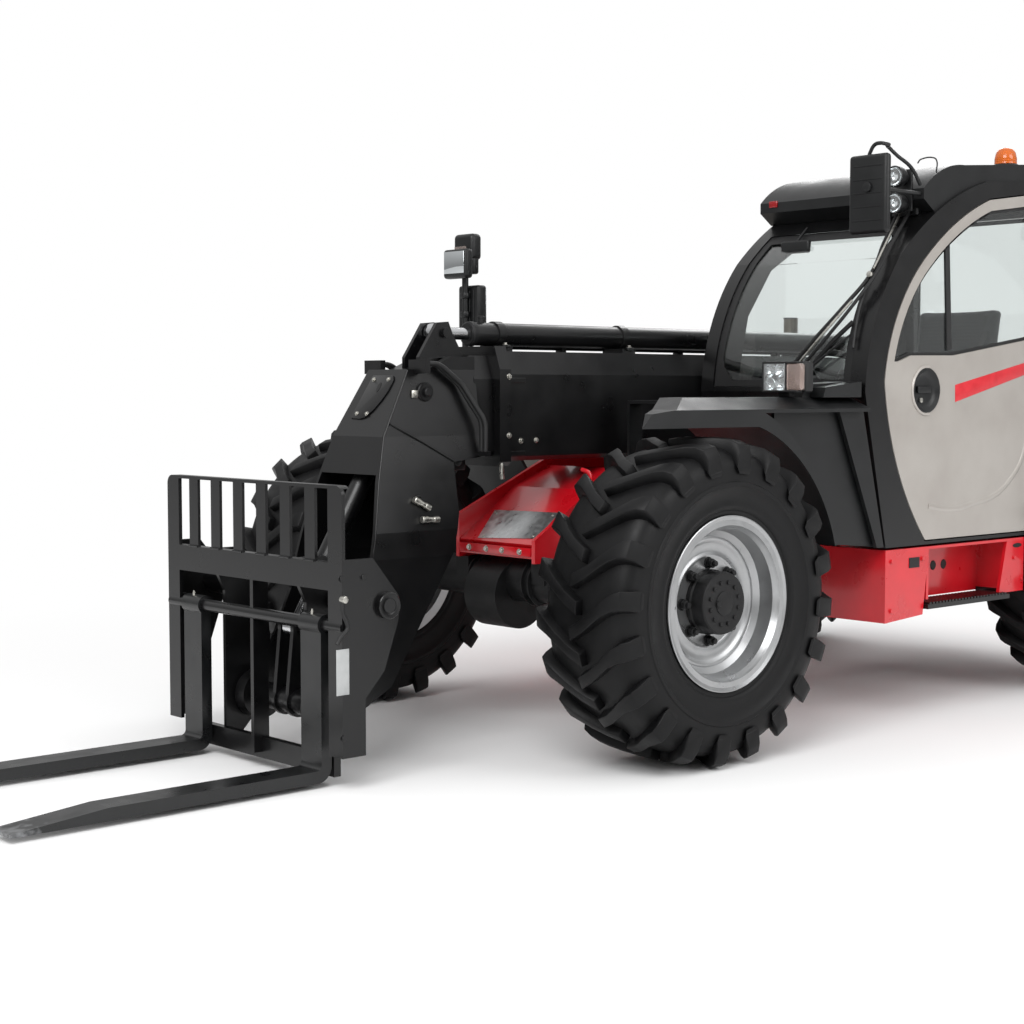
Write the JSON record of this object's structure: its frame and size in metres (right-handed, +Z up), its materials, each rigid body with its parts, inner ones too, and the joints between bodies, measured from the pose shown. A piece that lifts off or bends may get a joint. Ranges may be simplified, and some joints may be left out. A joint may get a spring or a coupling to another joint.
{
  "type": "telehandler",
  "caption": "Four-wheel telescopic handler with a cab on the left, an engine pod on the right and a low-slung boom that carries a fork carriage.",
  "frame": {"origin": "on the ground, in the middle of the machine's overall length and width", "axes": "+X forward, towards the fork tips; +Y to the machine's left, the cab side; +Z up"},
  "size_m": [6.262, 2.46, 2.56],
  "materials": {
    "chassis_red": "gloss",
    "boom_black": "satin",
    "fork_black": "satin",
    "hose_rubber": "matte",
    "rim_silver": "satin",
    "cast_black": "satin",
    "rod_chrome": "polished",
    "tyre_rubber": "matte",
    "dark_plastic": "matte",
    "cab_black": "satin",
    "door_grey": "satin",
    "clear_glass": "clear",
    "seat_cloth": "woven",
    "lamp_clear": "clear",
    "lamp_amber": "translucent",
    "lamp_red": "translucent",
    "exhaust_steel": "brushed"
  },
  "bodies": {
    "chassis": {"engine_tray": "chassis_red", "engine_block": "cast_black", "cab": "cab_black", "windscreen": "clear_glass", "cab_glass": "clear_glass", "cab_roof": "dark_plastic", "seat_base": "dark_plastic", "seat_cushion": "seat_cloth", "seat_back": "seat_cloth", "console": "dark_plastic", "side_console": "dark_plastic", "steering_wheel": "dark_plastic", "front_fenders": "dark_plastic", "rear_fenders": "dark_plastic", "headlamp_left": "lamp_clear", "lamp_post": "dark_plastic", "mirror_left": "dark_plastic", "work_lamps": "lamp_clear", "beacon": "lamp_amber", "exhaust": "exhaust_steel", "counterweight": "chassis_red", "tail_lamps": "lamp_red", "tow_hitch": "cast_black", "axle_front": "cast_black", "axle_rear": "cast_black", "skirt_left": "chassis_red", "step": "boom_black", "rail_left": "chassis_red", "rail_right": "chassis_red", "crossmembers": "chassis_red", "driveline": "cast_black", "cowl": "dark_plastic"},
    "hood": {"hood": "door_grey"},
    "door": {"door": "door_grey", "door_glass": "clear_glass"},
    "boom": {"boom_outer": "boom_black", "telescope_barrel": "boom_black"},
    "boom_extension": {"boom_inner": "boom_black", "telescope_rod": "rod_chrome", "head_hoses": "hose_rubber"},
    "lift_barrel": {"lift_cylinder_barrel": "boom_black"},
    "lift_rod": {"lift_cylinder_rod": "rod_chrome"},
    "tilt_barrel": {"tilt_cylinder_barrel": "boom_black"},
    "tilt_rod": {"tilt_cylinder_rod": "rod_chrome"},
    "carriage": {"carriage": "boom_black"},
    "fork_left": {"fork_left": "fork_black"},
    "fork_right": {"fork_right": "fork_black"},
    "knuckle_front_left": {"knuckle_front_left": "cast_black"},
    "wheel_front_left": {"tyre_front_left": "tyre_rubber", "rim_front_left": "rim_silver"},
    "knuckle_front_right": {"knuckle_front_right": "cast_black"},
    "wheel_front_right": {"tyre_front_right": "tyre_rubber", "rim_front_right": "rim_silver"},
    "knuckle_rear_left": {"knuckle_rear_left": "cast_black"},
    "wheel_rear_left": {"tyre_rear_left": "tyre_rubber", "rim_rear_left": "rim_silver"},
    "knuckle_rear_right": {"knuckle_rear_right": "cast_black"},
    "wheel_rear_right": {"tyre_rear_right": "tyre_rubber", "rim_rear_right": "rim_silver"}
  },
  "joints": [
    {"name": "steer_front_left", "type": "hinge", "parent": "chassis", "child": "knuckle_front_left", "pos_m": [0.589, 0.9, 0.625], "axis": [0, 0, 1], "range_deg": [-35, 35]},
    {"name": "spin_front_left", "type": "hinge", "parent": "knuckle_front_left", "child": "wheel_front_left", "pos_m": [0.589, 1, 0.625], "axis": [0, 1, 0], "continuous": true},
    {"name": "steer_front_right", "type": "hinge", "parent": "chassis", "child": "knuckle_front_right", "pos_m": [0.589, -0.9, 0.625], "axis": [0, 0, 1], "range_deg": [-35, 35]},
    {"name": "spin_front_right", "type": "hinge", "parent": "knuckle_front_right", "child": "wheel_front_right", "pos_m": [0.589, -1, 0.625], "axis": [0, 1, 0], "continuous": true},
    {"name": "steer_rear_left", "type": "hinge", "parent": "chassis", "child": "knuckle_rear_left", "pos_m": [-2.311, 0.9, 0.625], "axis": [0, 0, 1], "range_deg": [-35, 35]},
    {"name": "spin_rear_left", "type": "hinge", "parent": "knuckle_rear_left", "child": "wheel_rear_left", "pos_m": [-2.311, 1, 0.625], "axis": [0, 1, 0], "continuous": true},
    {"name": "steer_rear_right", "type": "hinge", "parent": "chassis", "child": "knuckle_rear_right", "pos_m": [-2.311, -0.9, 0.625], "axis": [0, 0, 1], "range_deg": [-35, 35]},
    {"name": "spin_rear_right", "type": "hinge", "parent": "knuckle_rear_right", "child": "wheel_rear_right", "pos_m": [-2.311, -1, 0.625], "axis": [0, 1, 0], "continuous": true},
    {"name": "lift", "type": "hinge", "parent": "chassis", "child": "boom", "pos_m": [-2.741, 0, 1.48], "axis": [0, -1, 0], "range_deg": [0, 63]},
    {"name": "telescope", "type": "slide", "parent": "boom", "child": "boom_extension", "axis": [1, 0, 0], "range_m": [0, 2.3]},
    {"name": "tilt", "type": "hinge", "parent": "boom_extension", "child": "carriage", "pos_m": [1.739, 0, 0.24], "axis": [0, 1, 0], "range_deg": [-12, 114]},
    {"name": "lift_cylinder_swing", "type": "hinge", "parent": "chassis", "child": "lift_barrel", "pos_m": [-2.291, 0, 0.8], "axis": [0, -1, 0], "range_deg": [0, 60]},
    {"name": "lift_cylinder_stroke", "type": "slide", "parent": "lift_barrel", "child": "lift_rod", "axis": [0.9783, 0, 0.2074], "range_m": [0, 0.846]},
    {"name": "tilt_cylinder_swing", "type": "hinge", "parent": "boom_extension", "child": "tilt_barrel", "pos_m": [1.191, 0, 1.418], "axis": [0, -1, 0], "range_deg": [-1, 3]},
    {"name": "tilt_cylinder_stroke", "type": "slide", "parent": "tilt_barrel", "child": "tilt_rod", "axis": [0.5105, 0, -0.8599], "range_m": [-0.05, 0.47]},
    {"name": "fork_left_slide", "type": "slide", "parent": "carriage", "child": "fork_left", "axis": [0, 1, 0], "range_m": [-0.3, 0.03]},
    {"name": "fork_right_slide", "type": "slide", "parent": "carriage", "child": "fork_right", "axis": [0, -1, 0], "range_m": [-0.3, 0.03]},
    {"name": "door", "type": "hinge", "parent": "chassis", "child": "door", "pos_m": [-1.726, 1.15, 1.75], "axis": [0, 0, 1], "range_deg": [0, 90]},
    {"name": "hood", "type": "hinge", "parent": "chassis", "child": "hood", "pos_m": [-0.941, -0.276, 1.388], "axis": [-1, 0, 0], "range_deg": [0, 60]}
  ],
  "couplings": [
    {"joint": "steer_front_right", "follows": "steer_front_left", "ratio": 1},
    {"joint": "steer_rear_right", "follows": "steer_rear_left", "ratio": 1},
    {"joint": "lift_cylinder_swing", "follows": "lift", "ratio": 0.9367},
    {"joint": "lift_cylinder_stroke", "follows": "lift", "m_per_rad": 0.7679},
    {"joint": "tilt_cylinder_swing", "follows": "tilt", "ratio": 0.014},
    {"joint": "tilt_cylinder_stroke", "follows": "tilt", "m_per_rad": 0.235}
  ]
}
